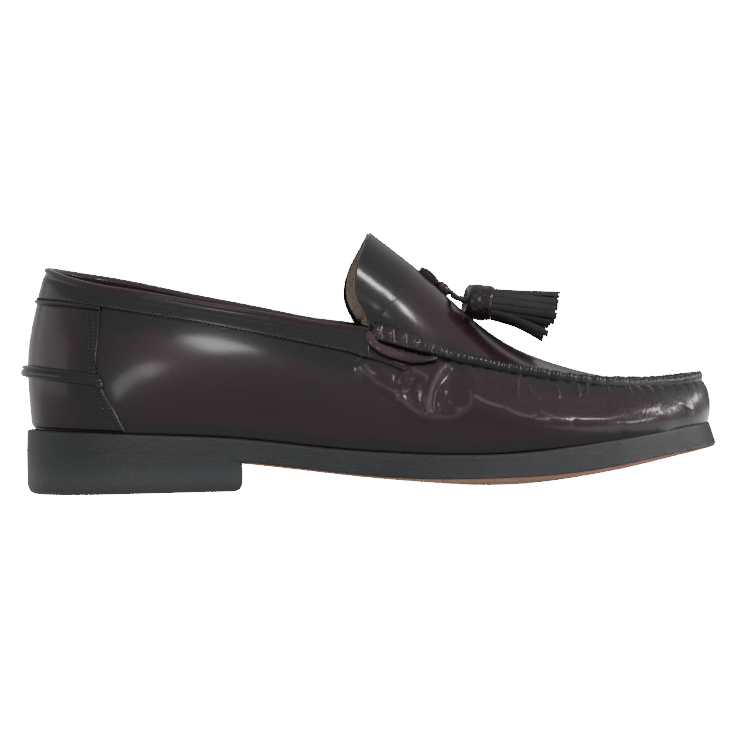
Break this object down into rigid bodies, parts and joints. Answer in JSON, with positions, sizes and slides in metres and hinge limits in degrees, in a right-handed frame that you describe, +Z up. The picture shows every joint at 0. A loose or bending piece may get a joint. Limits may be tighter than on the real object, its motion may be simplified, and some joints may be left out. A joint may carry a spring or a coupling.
{
  "type": "tassel loafer",
  "caption": "Slip-on dress shoe with a gathered apron seam, a bound collar, a stacked heel and leather tassels on thongs.",
  "frame": {"origin": "middle of the heel's flat face on the floor", "axes": "+X points to the toe, +Y to the inner side of the right foot, +Z up; the shoe stands on heel and forefoot"},
  "size_m": [0.2936, 0.1014, 0.1066],
  "materials": {
    "burgundy_leather": "high polish, burnished darker at seams",
    "dark_leather": "polished, near black",
    "tassel_leather": "semi-gloss, near black",
    "black_sole": "brushed, dyed black",
    "tan_leather": "matt, natural",
    "lining_leather": "matt, soft"
  },
  "bodies": {
    "root": {"upper": "burgundy_leather", "collar_band": "dark_leather", "collar_band_tip_outer": "dark_leather", "collar_band_tip_inner": "dark_leather", "heel_stay": "burgundy_leather", "heel_foxing": "burgundy_leather", "heel_bead": "dark_leather", "vamp_ear_outer": "burgundy_leather", "vamp_ear_inner": "burgundy_leather", "insole": "lining_leather", "midsole": "black_sole", "heel": "black_sole", "outsole": "tan_leather", "thong_outer": "tassel_leather", "thong_inner": "tassel_leather", "thong_knot": "tassel_leather", "tassel_cap_outer": "tassel_leather", "tassel_cap_inner": "tassel_leather", "tassel_fringe_outer": "tassel_leather", "tassel_fringe_inner": "tassel_leather"}
  },
  "joints": []
}
